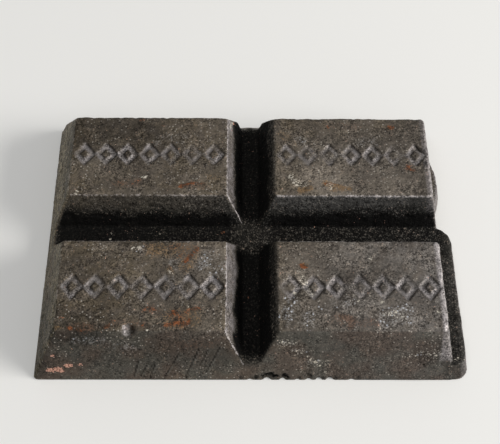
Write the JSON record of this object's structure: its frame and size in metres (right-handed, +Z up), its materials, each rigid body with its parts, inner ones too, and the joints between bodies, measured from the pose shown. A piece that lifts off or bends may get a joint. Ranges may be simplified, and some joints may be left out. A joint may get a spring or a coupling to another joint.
{
  "type": "metal ingot",
  "caption": "Cast type-metal ingot with raised pads in a grid on one slab, parted by tapered break channels.",
  "frame": {"origin": "on the resting face, under the point where the two break channels cross", "axes": "+Z up out of the pad tops, +X along the long side, towards the end with the lip, +Y away from the front"},
  "size_m": [0.1905, 0.1358, 0.0257],
  "materials": {
    "cast_type_metal": "as-cast oxidised lead alloy, dark charcoal grey-brown, semi-matt, with rust-coloured spots and worn bare edges"
  },
  "bodies": {
    "root": {"ingot": "cast_type_metal"}
  },
  "joints": []
}
